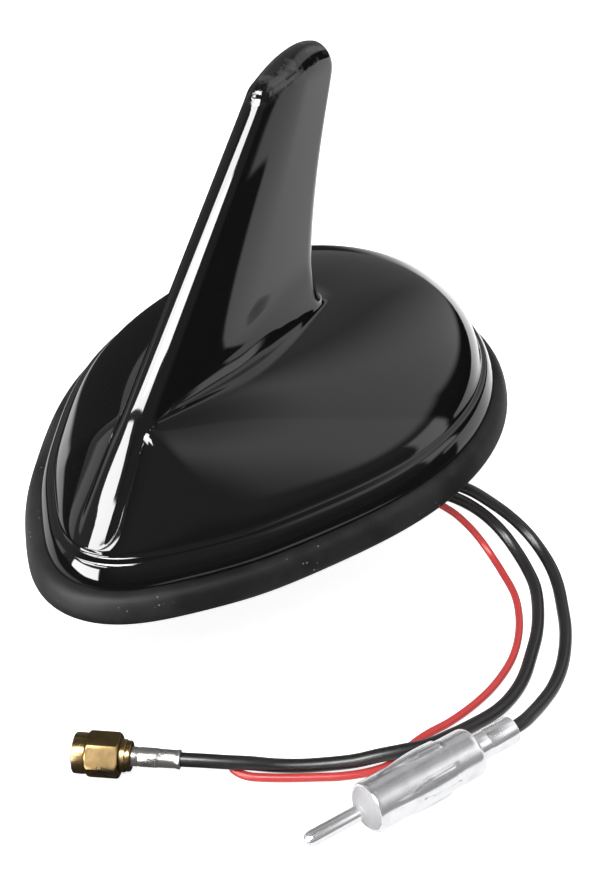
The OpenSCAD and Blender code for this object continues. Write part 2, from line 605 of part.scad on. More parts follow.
cover();
gasket();
base_plate();
grommet();
cover_screw();
main_board();
board_screw();
shield_can();
tuner_chip();
coil_former();
coil();
fin_socket();
fin_board();
top_load();
patch_board();
patch();
patch_pin();
inner_coax();
inner_wire();
coax_gps();
coax_fm();
feed_wire();
wire_tip();
sma_nut();
sma_body();
sma_insulator();
sma_pin();
sma_ferrule();
din_barrel();
din_insulator();
din_pin();
din_sleeve();
din_boot();
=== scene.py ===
import bpy
import bmesh
from math import cos, sin, pi, radians, sqrt, atan2
from mathutils import Vector, Matrix


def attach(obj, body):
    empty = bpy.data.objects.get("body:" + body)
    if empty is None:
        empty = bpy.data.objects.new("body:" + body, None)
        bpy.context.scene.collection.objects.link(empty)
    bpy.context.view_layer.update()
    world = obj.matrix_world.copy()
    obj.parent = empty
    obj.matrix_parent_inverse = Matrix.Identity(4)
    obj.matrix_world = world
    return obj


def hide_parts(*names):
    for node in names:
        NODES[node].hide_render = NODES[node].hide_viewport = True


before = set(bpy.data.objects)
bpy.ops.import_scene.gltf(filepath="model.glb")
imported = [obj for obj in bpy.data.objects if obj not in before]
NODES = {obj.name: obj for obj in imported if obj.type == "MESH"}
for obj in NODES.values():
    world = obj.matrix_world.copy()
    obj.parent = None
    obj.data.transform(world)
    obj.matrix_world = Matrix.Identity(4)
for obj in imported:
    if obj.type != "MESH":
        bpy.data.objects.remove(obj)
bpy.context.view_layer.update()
MM = 0.001
AERIAL = "aerial"
NUT_BODY = "coupling_nut"


# Hand tools
def clear_selection():
    if bpy.context.mode != "OBJECT":
        bpy.ops.object.mode_set(mode="OBJECT")
    bpy.ops.object.select_all(action="DESELECT")


def pick(*objects):
    clear_selection()
    for o in objects:
        o.select_set(True)
    bpy.context.view_layer.objects.active = objects[0]


def finish_piece(o, name, node, body, smooth=None):
    """Applies modifiers and place, names the piece and lets it ride in its solid's stead."""
    pick(o)
    for m in list(o.modifiers):
        bpy.ops.object.modifier_apply(modifier=m.name)
    bpy.ops.object.transform_apply(location=True, rotation=True, scale=True)
    o.name = o.data.name = name
    if smooth is None:
        bpy.ops.object.shade_smooth()
    else:
        bpy.ops.object.shade_smooth_by_angle(angle=radians(smooth))
    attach(o, body)
    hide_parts(node)
    return o


def outward(o):
    """Merges doubles and turns the faces outwards."""
    pick(o)
    bpy.ops.object.mode_set(mode="EDIT")
    bpy.ops.mesh.select_all(action="SELECT")
    bpy.ops.mesh.remove_doubles(threshold=1e-6)
    bpy.ops.mesh.normals_make_consistent(inside=False)
    bpy.ops.object.mode_set(mode="OBJECT")


def subdivide(o):
    m = o.modifiers.new("subdivision", "SUBSURF")
    m.levels = m.render_levels = 1


def key_of(p):
    """A point in whole micrometres, by which a vertex is found again."""
    return (round(p[0] * 1e6), round(p[1] * 1e6), round(p[2] * 1e6))


def extrude_rings(rings, name="loft"):
    """A circle is added and extruded ring after ring; each ring is set to its own outline."""
    n = len(rings[0])
    clear_selection()
    bpy.ops.mesh.primitive_circle_add(vertices=n, radius=0.05)
    o = bpy.context.object
    o.name = name
    bpy.ops.object.mode_set(mode="EDIT")
    bm = bmesh.from_edit_mesh(o.data)
    bm.verts.ensure_lookup_table()
    now = {}
    for i, v in enumerate(bm.verts):
        v.co = Vector(rings[0][i]) * MM
        now[key_of(v.co)] = i
    bmesh.update_edit_mesh(o.data)
    bpy.ops.mesh.select_all(action="SELECT")
    for ring in rings[1:]:
        bpy.ops.mesh.extrude_edges_move()
        bm = bmesh.from_edit_mesh(o.data)
        after = {}
        for v in bm.verts:
            if v.select:
                i = now[key_of(v.co)]
                v.co = Vector(ring[i]) * MM
                after[key_of(v.co)] = i
        now = after
        bmesh.update_edit_mesh(o.data)
    bpy.ops.object.mode_set(mode="OBJECT")
    return o


def close_rows(o, ring):
    """Closes a left-right symmetric ring with a strip of faces."""
    n = len(ring)
    bm = bmesh.new()
    bm.from_mesh(o.data)
    at = {key_of(v.co): v for v in bm.verts}
    v = [at[key_of(Vector(p) * MM)] for p in ring]
    for i in range(n // 2):
        corners = (v[i], v[i + 1], v[n - i - 1], v[(n - i) % n])
        bm.faces.new(list(dict.fromkeys(corners)))
    bm.to_mesh(o.data)
    bm.free()


# Cover outline, in mm
PLAN = (54.8, 34.8, 18.9, 4.5, 1.5, -0.4)   # radius of the teardrop as a cosine series
SHIFT = 24.2                                # from the series' centre to the stem
BASE_LENGTH = 150.7
KX, KY = 150.4 / 150.1, 104.5 / 106.2       # fit of the series to the base's length and width
WALL = 2.4
SKIRT_OFF, RIM_OFF = 3.7, 7.5               # the skirt and the dome's rim, inside the outline
SKIRT_TOP = 11.6
SEAL_H = 6.2
LEAD_FOOT = (-53 * KX, SKIRT_TOP + 1.4)     # (x, z) along the nose ridge and the fin's front edge
LEAD_CREASE = (-35.2 * KX, 33.8)
LEAD_TOP = (14.6 * KX, 83.2)
TRAIL = ((34.5 * KX, 30.5), (31.6 * KX, 43), (35.4 * KX, 62), (43.2 * KX, 82.2))
TAIL_FOOT = TRAIL[0][0] + 4                 # where the fin's foot ends
FOOT_Z, FIN_HEIGHT = 30.8, 89
FOOT_HALF, TOP_HALF = 7.8, 4.4              # half thickness of the fin
RIDGE_LOW, RIDGE_HIGH = 4.9, 2.9            # half width of the nose ridge, foot and crease
CREASE_AT = 0.3                             # share of the fin's height at which its own form begins
RIDGE_SOFT = 0.4
END_ROUND = 0.06                            # share of the fin's length that rounds off each end
SEG = 96


def mix(a, b, u):
    return a + (b - a) * u


def through(a, b, c, d, u):
    """A point between b and c on the smooth curve through four points."""
    return 0.5 * (2 * b + (c - a) * u + (2 * a - 5 * b + 4 * c - d) * u * u
                  + (3 * b - a - 3 * c + d) * u ** 3)


def plan_point(t, off):
    """A point of the teardrop outline, moved inwards."""
    r = sum(k * cos(i * t) for i, k in enumerate(PLAN))
    dr = sum(-i * k * sin(i * t) for i, k in enumerate(PLAN))
    d = Vector((KX * (dr * cos(t) - r * sin(t)), KY * (dr * sin(t) + r * cos(t)))).normalized()
    return Vector((KX * (r * cos(t) - SHIFT) - off * d.y, KY * r * sin(t) + off * d.x))


NOSE_X = plan_point(pi, 0).x


def angle(i):
    return 2 * pi * i / SEG


def plan_ring(off, z):
    return [(*plan_point(angle(i), off), z) for i in range(SEG)]


def fin_share(t):
    """Place along the fin, 0 at its front edge and 1 at its rear edge, of an outline point."""
    q = (plan_point(t, 0).x - NOSE_X) / BASE_LENGTH
    return 1 - max(0, 1 - q) ** 1.6


def lead_at(h):
    """The front edge at a share of the height: the nose ridge, the crease, then the fin."""
    if h < CREASE_AT:
        return [mix(LEAD_FOOT[k], LEAD_CREASE[k], h / CREASE_AT) for k in (0, 1)]
    return [mix(LEAD_CREASE[k], LEAD_TOP[k], (h - CREASE_AT) / (1 - CREASE_AT)) for k in (0, 1)]


def trail_at(h):
    """Smooth curve through the four points of the trailing edge."""
    p = [Vector(q) for q in TRAIL]
    p = [p[0] * 2 - p[1], *p, p[3] * 2 - p[2]]
    k = min(2, int(h * 3))
    return through(*p[k:k + 4], h * 3 - k)


def fin_half(h):
    return mix(FOOT_HALF, TOP_HALF, h ** 0.8)


def round_ends(s):
    """1 along the fin, rounding down to 0 at its front and rear edges."""
    a, b = min(1, s / END_ROUND), min(1, (1 - s) / END_ROUND)
    return sqrt(max(0, 1 - (1 - a) ** 2)) * sqrt(max(0, 1 - (1 - b) ** 2.4))


def fin_profile(s):
    """The fin's thickness along its length: slim in front, full from the middle on."""
    return (0.52 + 0.48 * sin(pi / 2 * min(1, s / 0.55))) * round_ends(s)


def ridge_z(x):
    """Height of the dome along the fin's foot: up the nose ridge, then level to the tail."""
    rise = (LEAD_CREASE[1] - LEAD_FOOT[1]) / (LEAD_CREASE[0] - LEAD_FOOT[0])
    a = LEAD_FOOT[1] + (x - LEAD_FOOT[0]) * rise
    b = mix(LEAD_CREASE[1] - 0.6, FOOT_Z, (x - LEAD_CREASE[0]) / (TRAIL[0][0] - LEAD_CREASE[0]))
    return (a + b - sqrt((a - b) ** 2 + RIDGE_SOFT)) / 2


def sided(i, y):
    """A half width as y, left or right of the middle plane."""
    return 0 if i in (0, SEG // 2) else (y if i < SEG // 2 else -y)


def foot_half(x):
    """Half width of the fin's foot: the nose ridge narrows to the crease, then the fin widens."""
    if x < LEAD_CREASE[0]:
        return mix(RIDGE_LOW, RIDGE_HIGH, (x - LEAD_FOOT[0]) / (LEAD_CREASE[0] - LEAD_FOOT[0]))
    u = min(1, (x - LEAD_CREASE[0]) / (TAIL_FOOT - LEAD_CREASE[0]))
    fin = (FOOT_HALF - RIDGE_HIGH) * sin(pi / 2 * min(1, u / 0.5))
    return RIDGE_HIGH + fin + 3.6 * sin(pi * u) ** 1.5


def ridge_drop(x, share):
    """How far the ridge falls off at a share of its half width."""
    return 1.7 * share ** 4 * min(1, max(0, (LEAD_CREASE[0] + 6 - x) / 8))


def fin_ring(h, w=0):
    """Ring of the fin at a share of its height, moved inwards by w for the inner wall."""
    a, b, ring = lead_at(h), trail_at(h), []
    for i in range(SEG):
        s = fin_share(angle(i))
        z = mix(a[1], b[1], s)
        x = mix(a[0], b[0], s)
        y = (fin_half(h) - w) * fin_profile(s)
        if h < CREASE_AT:
            low = ridge_z(x) - ridge_drop(x, round_ends(s))
            z = mix(low, max(z, low), (h / CREASE_AT) ** 1.5)
            y = mix((foot_half(x) - w) * round_ends(s), y, h / CREASE_AT)
        y = sided(i, max(0.02 * round_ends(s), y))
        ring.append((mix(a[0] + 1.3 * w, b[0] - w, s), y, z - w * 0.6))
    return ring


def foot_ring(w=0):
    """Ring on the dome where the ridge and the fin rise from it."""
    ring = []
    for i in range(SEG):
        s = fin_share(angle(i))
        x = mix(LEAD_FOOT[0] + 1.3 * w, TAIL_FOOT - w, s)
        y = max(0.02, foot_half(x) - w) * round_ends(s)
        drop = ridge_drop(x, 1.0) * round_ends(s)
        ring.append((x, sided(i, y), ridge_z(x) - max(min(1, s / 0.1), drop) - w))
    return ring


def dome_power(t):
    """How full the dome's section is in a direction, fullest at the tail."""
    return 1.27 + 0.95 * ((1 + cos(t)) / 2) ** 12 - 0.06 * ((1 - cos(t)) / 2) ** 3


def dome_ring(u, rim, foot):
    """Ring of the dome between its rim and the fin's foot."""
    ring = []
    for i in range(SEG):
        n = dome_power(angle(i))
        c = (1 - (1 - u) ** n) ** (1 / n)
        a, b = rim[i], foot[i]
        ring.append((mix(a[0], b[0], u), mix(a[1], b[1], u), mix(a[2], b[2], c)))
    return ring


def top_ring(draw, lift):
    """Ring of the fin's rounded top, drawn in and lifted."""
    mid = (LEAD_TOP[0] + TRAIL[3][0]) / 2
    ring = []
    for i, p in enumerate(fin_ring(1)):
        s = fin_share(angle(i))
        hump = sin(pi * s ** 1.5)
        z = p[2] + lift * (0.55 + 0.45 * s) + (FIN_HEIGHT - TRAIL[3][1] - 5) * 0.9 * hump
        ring.append((mix(p[0], mid + 6, draw * 0.28), p[1] * (1 - draw), z))
    return ring


# Cover
rim_out = plan_ring(RIM_OFF, SKIRT_TOP + 0.7)
foot_out = foot_ring()
rim_in = plan_ring(RIM_OFF + WALL, SKIRT_TOP - 1)
foot_in = foot_ring(WALL)
outer = [plan_ring(SKIRT_OFF, SEAL_H + 0.02), plan_ring(SKIRT_OFF + 0.05, SEAL_H + 0.4)]
outer += [plan_ring(SKIRT_OFF + off, z) for off, z in
          ((0.3, SEAL_H + 1.6), (0.9, SKIRT_TOP - 2.4), (1.75, SKIRT_TOP - 0.6),
           (2.55, SKIRT_TOP - 0.05), (3.3, SKIRT_TOP - 0.1))]
outer += [rim_out]
outer += [dome_ring(u, rim_out, foot_out) for u in
          (0.02, 0.06, 0.12, 0.2, 0.3, 0.42, 0.55, 0.68, 0.8, 0.9, 0.96)]
outer += [foot_out]
outer += [fin_ring(h) for h in
          (0.06, 0.12, 0.2, 0.285, 0.315, 0.4, 0.5, 0.6, 0.7, 0.8, 0.9, 0.97)]
outer += [top_ring(draw, lift) for draw, lift in
          ((0, 0), (0.08, 1.9), (0.22, 3.3), (0.42, 4.5), (0.66, 5.3), (0.85, 5.6))]
inner = [plan_ring(SKIRT_OFF + WALL + off, z) for off, z in
         ((0, SEAL_H + 0.02), (0.1, SEAL_H + 0.5), (1.0, SKIRT_TOP - 2.4))]
inner += [rim_in]
inner += [dome_ring(u, rim_in, foot_in) for u in (0.06, 0.25, 0.6)]
inner += [foot_in] + [fin_ring(h, WALL) for h in (0.14, 0.3, 0.5, 0.75, 0.93)]
shell = extrude_rings(inner[::-1] + outer)
close_rows(shell, inner[-1])
close_rows(shell, outer[-1])
outward(shell)
subdivide(shell)
cover = finish_piece(shell, "cover_moulding", "cover", AERIAL)

# Rubber seal

# profile of the seal: distance inside the outline, and height
SEAL = ((2.4, 0.0), (1.2, 0.0), (0.55, 0.25), (0.12, 0.8), (0.0, 1.5), (0.25, 3.0), (0.7, 4.4),
        (1.15, 5.2), (1.75, 5.8), (2.5, 6.1), (3.3, SEAL_H), (6.3, SEAL_H), (6.5, SEAL_H),
        (6.5, 5.9), (6.5, 0.3), (6.5, 0.0), (6.2, 0.0))
seal_loop = extrude_rings([plan_ring(*q) for q in SEAL] + [plan_ring(*SEAL[0])])
outward(seal_loop)
subdivide(seal_loop)
seal = finish_piece(seal_loop, "seal_ring", "gasket", AERIAL)

# Cables

# routes in mm, as in the part's source; FLOOR is in metres, below the roof plane
FLOOR = -0.022
EXIT_TURN = radians(-61.4)
EXIT = Vector((cos(EXIT_TURN), sin(EXIT_TURN), 0))
GPS = ((5.03, -9.22, -4.5), (8.89, -16.47, -4.5), (13.24, -24.5, -4.5), (17.65, -32.88, -4.84),
       (21.3, -39.98, -5.73), (24.47, -45.76, -7.93), (27.45, -49.98, -11.21),
       (29.38, -53.99, -14.83), (29.3, -58.2, -18), (26.8, -62.6, -20), (22.6, -66.8, -20.6),
       (17.4, -70.6, -20.6), (10.6, -73.8, -20.6), (3.2, -76.3, -20.6), (-4.8, -77.9, -20.6),
       (-11.6, -78.9, -20.6), (-18, -78.8, -20.5), (-24.2, -77.6, -20.2), (-30.9, -74.9, -19.6),
       (-36.2, -72.3, -19.1), (-40.4, -69.9, -18.8), (-44.01, -66.48, -18.61),
       (-47.31, -62.57, -18.91), (-50.2, -58.6, -19.8), (-53, -54, -20.4), (-55.7, -49.6, -20.6),
       (-58.4, -45.2, -20.2), (-61.16, -41.2, -19.06), (-63.78, -37.2, -18.33),
       (-65.9, -33.4, -17.9))
FM = ((7.7, -7.76, -4.5), (12.13, -16.12, -4.5), (16.86, -24.91, -4.49), (21.33, -33.55, -4.51),
      (25.35, -41.62, -5.15), (28.5, -48.42, -7.58), (30.67, -53.84, -11.14),
      (32.2, -58.6, -14.8), (32.2, -63, -17.9), (30, -67.4, -20), (26, -71.3, -20.6),
      (20.4, -75, -20.6), (14, -78.3, -20.6), (7.6, -81.3, -20.6), (1.1, -83.5, -20.6),
      (-5.2, -84.9, -20.6), (-11.6, -85.4, -20.4), (-17.4, -85.2, -19.6), (-22, -84.9, -18.6),
      (-26.4, -84.5, -17.4))
WIRE = ((2.35, -10.68, -4.5), (6.2, -18.4, -4.5), (10.8, -27.4, -4.6), (15.2, -36.2, -5),
        (18.6, -42.8, -6.4), (21.3, -47.2, -9.6), (23.7, -50.4, -13.8), (24.7, -53.8, -17.8),
        (23.2, -57.8, -20.6), (19, -62.3, -21.15), (13.4, -67.2, -21.15), (7.1, -70.7, -21.15),
        (0.8, -73, -21.15), (-5.5, -74.3, -21.15), (-11.6, -74.5, -21.15), (-17.8, -73.9, -21.15),
        (-24.2, -72.4, -21.15), (-30.4, -70.2, -21.15), (-35.4, -67.7, -21.15),
        (-39.8, -66.1, -21.15), (-43.89, -65.22, -21.15), (-47.21, -64.23, -21.15),
        (-50.8, -61.3, -21.15), (-54, -57.4, -21.15), (-56.4, -53.5, -21.15),
        (-58.8, -49.4, -21.15), (-60.9, -45.5, -21.15), (-62.53, -41.81, -21.15),
        (-62.63, -38.8, -21.15), (-61.4, -36.8, -21.15))
SMA_AT, SMA_TURN = Vector((-67.8, -29.5, -17.8)) * MM, radians(113.4)
DIN_AT, DIN_TURN = Vector((-30.2, -83.2, -17)) * MM, radians(153.1)
TIP_DIR = Vector((0.514, 0.858, 0))


def exit_point(k):
    """Where the lead in place k, -1 to 1, leaves the grommet's face."""
    side = Vector((-EXIT.y, EXIT.x, 0))
    return (10.5 * EXIT + 3.05 * k * side + Vector((0, 0, -4.5))) * MM


def smooth_line(points, start_dir, end_dir, steps=6):
    """Points of a smooth line that leaves and ends in the given directions."""
    p = [Vector(q) for q in points]
    before = p[1] - start_dir * 2 * (p[1] - p[0]).length
    after = p[-2] + end_dir * 2 * (p[-1] - p[-2]).length
    p = [before, *p, after]
    line = []
    for k in range(1, len(p) - 2):
        a, b, c, d = p[k - 1:k + 3]
        line += [through(a, b, c, d, j / steps) for j in range(steps)]
    return line + [p[-2]]


def lay_cable(name, line, radius, node):
    """A round cable along a line, lying on the floor where it reaches it."""
    for q in line:
        q.z = max(q.z, FLOOR + radius)
    data = bpy.data.curves.new(name, "CURVE")
    data.dimensions = "3D"
    data.bevel_depth, data.bevel_resolution, data.use_fill_caps = radius, 5, True
    spline = data.splines.new("POLY")
    spline.points.add(len(line) - 1)
    for q, p in zip(spline.points, line):
        q.co = (*p, 1)
    spline.use_smooth = True
    o = bpy.data.objects.new(name, data)
    bpy.context.collection.objects.link(o)
    pick(o)
    bpy.ops.object.convert(target="MESH")
    o = bpy.context.object
    outward(o)
    bpy.ops.object.shade_smooth_by_angle(angle=radians(50))
    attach(o, AERIAL)
    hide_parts(node)
    length = sum((b - a).length for a, b in zip(line, line[1:]))
    return o


# Turned pieces
def turned_rings(profile, n):
    """Rings about +Z of a profile, a list of (radius, height) in mm."""
    turns = [2 * pi * i / n for i in range(n)]
    return [[(r * cos(turn), r * sin(turn), z) for turn in turns] for r, z in profile]


def turned_rod(profile, n):
    """A solid turned piece, its ends closed."""
    o = extrude_rings(turned_rings(profile, n), "turned")
    bm = bmesh.new()
    bm.from_mesh(o.data)
    bmesh.ops.holes_fill(bm, edges=[e for e in bm.edges if e.is_boundary], sides=0)
    bm.to_mesh(o.data)
    bm.free()
    outward(o)
    return o


def turned_loop(profile, n):
    """A turned ring whose profile closes on itself."""
    o = extrude_rings(turned_rings([*profile, profile[0]], n), "ring")
    outward(o)
    return o


def place_along(o, at, turn):
    """Lays a turned piece down, its axis in a direction in plan."""
    lie = Matrix.Rotation(turn, 4, "Z") @ Matrix.Rotation(pi / 2, 4, "Y")
    o.matrix_world = Matrix.Translation(at) @ lie
    return o


# Screw plug

# distances in mm from the rear end of the crimp sleeve
FERRULE_L, COLLAR_L, NUT_L, LIP_L = 9.6, 2.1, 6.5, 2.7
NUT_BACK = FERRULE_L + COLLAR_L
NUT_FRONT = NUT_BACK + NUT_L + LIP_L
INSULATOR_BACK = FERRULE_L + 3
HEX_TURN, HEX_R = radians(36), 4.0      # the hexagon's turn about the axis and half its flats
CORNER = 0.57                           # how far its corners stand out, after chamfering
THREAD_R, THREAD_DEEP, THREAD_PITCH = 3.0, 3.16, 0.55
NUT_SEG = 96


def hex_radius(phi, limit):
    """Distance to the hexagon's side in a direction, held below a turned limit."""
    across = (phi - HEX_TURN) % (pi / 3) - pi / 6
    return min(HEX_R / cos(across), limit)


def hex_ring(limit, z, turned):
    """Ring of the nut, round where it is turned and six-sided elsewhere."""
    turns = [HEX_TURN + 2 * pi * i / NUT_SEG for i in range(NUT_SEG)]
    radii = [limit if turned else hex_radius(phi, limit) for phi in turns]
    return [(r * cos(phi), r * sin(phi), z) for phi, r in zip(turns, radii)]


hex_a, hex_b = NUT_BACK + 0.05, NUT_BACK + 0.05 + NUT_L
chamfer = [(HEX_R + CORNER * sqrt(k / 6), 0.04 + 0.5 * k / 6) for k in range(1, 7)]
rows_of_nut = [(3.3, hex_a), (3.8, hex_a), (3.97, hex_a + 0.02)]
rows_of_nut += [(r, hex_a + d) for r, d in chamfer]
rows_of_nut += [(HEX_R + CORNER, 0.5 * (hex_a + hex_b))]
rows_of_nut += [(r, hex_b - d) for r, d in chamfer[::-1]]
rows_of_nut += [(3.97, hex_b - 0.02), (3.8, hex_b), (3.72, hex_b + 0.02), (3.85, hex_b + 0.1),
                (3.97, hex_b + 0.25), (4.0, hex_b + 0.6)]
rows_of_nut += [(4.0, NUT_FRONT - 0.5), (3.95, NUT_FRONT - 0.2), (3.8, NUT_FRONT - 0.03),
                (3.7, NUT_FRONT), (3.4, NUT_FRONT), (3.3, NUT_FRONT - 0.05),
                (THREAD_R, NUT_FRONT - 0.5)]
thread, z = [], hex_a + 3.3
while z + THREAD_PITCH < NUT_FRONT - 0.6:
    thread += [(THREAD_R, z), (THREAD_DEEP, z + 0.2), (THREAD_DEEP, z + 0.3), (THREAD_R, z + 0.5)]
    z += THREAD_PITCH
rows_of_nut += thread[::-1]
rows_of_nut += [(THREAD_R, hex_a + 3.02), (2.76, hex_a + 3.0), (2.75, hex_a + 2.0),
                (2.36, hex_a + 1.98), (2.36, hex_a + 0.05)]
nut = extrude_rings([hex_ring(limit, z, not hex_a <= z <= hex_b)
                     for limit, z in rows_of_nut + rows_of_nut[:1]], "nut")
outward(nut)
sma_nut = finish_piece(place_along(nut, SMA_AT, SMA_TURN), "screw_plug_nut", "sma_nut", NUT_BODY,
                       28)

body = turned_loop([(2.3, FERRULE_L + 0.05), (2.75, FERRULE_L), (2.95, FERRULE_L + 0.12),
                    (3.0, FERRULE_L + 0.35), (3.0, FERRULE_L + 0.75), (2.85, FERRULE_L + 0.85),
                    (2.85, FERRULE_L + 0.95), (3.1, FERRULE_L + 1.02), (3.2, FERRULE_L + 1.15),
                    (3.2, NUT_BACK - 0.12), (3.08, NUT_BACK), (2.3, NUT_BACK),
                    (2.3, NUT_BACK + 2.02), (2.7, NUT_BACK + 2.06), (2.7, NUT_BACK + 2.94),
                    (2.3, NUT_BACK + 3), (2.3, NUT_FRONT - 2.75), (2.2, NUT_FRONT - 2.62),
                    (2.07, NUT_FRONT - 2.62), (2.07, INSULATOR_BACK), (1.2, INSULATOR_BACK)], 64)
sma_body = finish_piece(place_along(body, SMA_AT, SMA_TURN), "screw_plug_body", "sma_body", AERIAL,
                        30)

ferrule = turned_loop([(1.42, 0.02), (1.8, 0.0), (1.92, 0.1), (1.9, 0.5), (1.78, 0.75), (1.75, 1.2),
                       (1.78, 4.2), (1.86, 4.45), (1.9, 4.8), (1.9, 7.9), (1.82, 8.1), (1.82, 8.35),
                       (1.9, 8.5), (1.9, FERRULE_L - 0.05), (1.42, FERRULE_L)], 64)
# the crimping tool leaves six flats round the outside
for v in ferrule.data.vertices:
    h, phi = v.co.z / MM, atan2(v.co.y, v.co.x)
    if 0.9 < h < 4.3 and v.co.xy.length > 1.6 * MM:
        v.co.xy *= 1 + 0.035 * cos(6 * phi)
sma_ferrule = finish_piece(place_along(ferrule, SMA_AT, SMA_TURN), "screw_plug_crimp",
                           "sma_ferrule", AERIAL, 40)

insulator = turned_loop([(0.47, INSULATOR_BACK + 0.02), (2.04, INSULATOR_BACK + 0.02),
                         (2.04, NUT_FRONT - 2.75), (1.95, NUT_FRONT - 2.63),
                         (0.6, NUT_FRONT - 2.6), (0.47, NUT_FRONT - 2.7)], 48)
sma_insulator = finish_piece(place_along(insulator, SMA_AT, SMA_TURN), "screw_plug_insulator",
                             "sma_insulator", AERIAL, 30)
tip = NUT_FRONT - 0.8
pin = turned_rod([(0.46, INSULATOR_BACK + 0.02), (0.46, tip - 0.45), (0.42, tip - 0.25),
                  (0.3, tip - 0.08), (0.12, tip)], 24)
sma_pin = finish_piece(place_along(pin, SMA_AT, SMA_TURN), "screw_plug_pin", "sma_pin", AERIAL,
                       40)

# Push-in plug

# distances in mm from the rear end of the rear sleeve
SLEEVE_L, BARREL_L, PIN_L = 10.3, 25.5, 14
RIM = SLEEVE_L + BARREL_L
BARREL_R, BARREL_BORE = 5.0, 4.22
TAB_A, TAB_B = SLEEVE_L + 7.5, SLEEVE_L + 21.5              # where the spring tongues start and end
TAB_TURNS = [radians(turn) for turn in (118, 208, 298, 28)]
TAB_RISE, TAB_EDGE, TAB_SLOT = 0.62, 0.35, 0.25
BARREL_ROWS = 46

barrel_profile = [(2.02, SLEEVE_L + 0.05), (3.2, SLEEVE_L), (3.9, SLEEVE_L + 0.02),
                  (4.45, SLEEVE_L + 0.15), (4.8, SLEEVE_L + 0.45), (4.97, SLEEVE_L + 0.9),
                  (BARREL_R, SLEEVE_L + 1.5)]
barrel_profile += [(BARREL_R, SLEEVE_L + 1.5 + (BARREL_L - 2.0) * k / BARREL_ROWS)
                   for k in range(1, BARREL_ROWS + 1)]
barrel_profile += [(4.97, RIM - 0.3), (4.85, RIM - 0.06), (4.65, RIM), (4.3, RIM - 0.05),
                   (BARREL_BORE, RIM - 0.3), (BARREL_BORE, SLEEVE_L + 1.25), (4.0, SLEEVE_L + 1.2),
                   (2.02, SLEEVE_L + 1.2)]
barrel = turned_loop(barrel_profile, 192)


def tab_half(a):
    """Half width of a spring tongue at a distance along the barrel."""
    u = (a - TAB_A) / (TAB_B - TAB_A)
    return 1.75 if u < 0.42 else mix(1.75, 0.8, min(1, (u - 0.42) / 0.4))


def tab_shape(a, phi, turn):
    """How far one spring tongue lifts the barrel's skin, or its slot cuts into it."""
    d = abs((phi - turn + pi) % (2 * pi) - pi) * BARREL_R
    u = (a - TAB_A) / (TAB_B - TAB_A)
    rise = TAB_RISE * max(0, sin(pi * min(1, max(0, 0.30 + 0.7 * u)))) if a >= TAB_A else 0
    half = tab_half(a)
    edge = min(1, max(0, (half - d) / TAB_EDGE))
    in_slot = (half < d < half + 0.3 or (a < TAB_A and d < half)) and a < TAB_A + 8
    return rise * edge * edge * (3 - 2 * edge) - (TAB_SLOT if in_slot else 0)


for v in barrel.data.vertices:
    a, r = v.co.z / MM, v.co.xy.length / MM
    if r < 4.8 or not TAB_A - 0.6 < a < TAB_B + 0.5:
        continue
    phi = atan2(v.co.y, v.co.x)
    for turn in TAB_TURNS:
        v.co.xy *= (r + tab_shape(a, phi, turn)) / r
din_barrel = finish_piece(place_along(barrel, DIN_AT, DIN_TURN), "push_plug_barrel", "din_barrel",
                          AERIAL, 38)
# a tongue lies on the floor, not in it
for v in din_barrel.data.vertices:
    v.co.z = max(v.co.z, FLOOR)

dome_profile = [(4.2, RIM - 11.9), (4.2, RIM - 0.1)]
dome_profile += [(4.2 * cos(radians(k)), RIM - 0.1 + 1.75 * sin(radians(k)))
                 for k in range(9, 72, 7)]
dome_profile += [(1.42, RIM + 1.6), (1.42, RIM - 11.9)]
din_insulator = finish_piece(place_along(turned_loop(dome_profile, 96), DIN_AT, DIN_TURN),
                             "push_plug_insulator", "din_insulator", AERIAL, 40)
end = RIM + PIN_L
pin = turned_rod([(1.4, RIM - 11.9), (1.4, RIM + 1.95), (1.5, RIM + 2.05), (1.55, RIM + 2.3),
                  (1.55, end - 1.7), (1.5, end - 1.2), (1.38, end - 0.8), (1.18, end - 0.42),
                  (0.9, end - 0.16), (0.62, end - 0.04), (0.5, end - 0.02), (0.45, end - 0.22),
                  (0.2, end - 0.3)], 64)
din_pin = finish_piece(place_along(pin, DIN_AT, DIN_TURN), "push_plug_pin", "din_pin", AERIAL,
                       40)
sleeve = turned_loop([(2.3, 0.0), (2.6, 0.02), (2.8, 0.2), (2.9, 0.6), (2.9, 6.6), (2.84, 6.9),
                      (2.84, 7.2), (2.9, 7.5), (2.9, SLEEVE_L - 0.06), (1.45, SLEEVE_L - 0.03),
                      (1.45, 2.55), (2.3, 2.5)], 96)
din_sleeve = finish_piece(place_along(sleeve, DIN_AT, DIN_TURN), "push_plug_sleeve", "din_sleeve",
                          AERIAL, 30)
boot = turned_loop([(1.42, 0.05), (2.0, 0.0), (2.22, 0.1), (2.28, 0.35), (2.28, 2.45),
                    (1.45, 2.45)], 48)
din_boot = finish_piece(place_along(boot, DIN_AT, DIN_TURN), "push_plug_boot", "din_boot", AERIAL,
                        40)

# Wire end and cables
COAX_R, WIRE_R = 1.4 * MM, 0.85 * MM
wire_end = Vector(WIRE[-1]) * MM
strand = turned_rod([(0.42, 0.0), (0.45, 0.1), (0.45, 0.95), (0.36, 1.15), (0.2, 1.2)], 20)
for v in strand.data.vertices:
    phi = atan2(v.co.y, v.co.x)
    v.co.xy *= 1 - 0.12 * (1 - abs(cos(2.5 * phi)))
wire_tip = finish_piece(place_along(strand, wire_end, atan2(TIP_DIR.y, TIP_DIR.x)), "wire_strands",
                        "wire_tip", AERIAL, 60)
sma_dir = Vector((cos(SMA_TURN), sin(SMA_TURN), 0))
din_dir = Vector((cos(DIN_TURN), sin(DIN_TURN), 0))


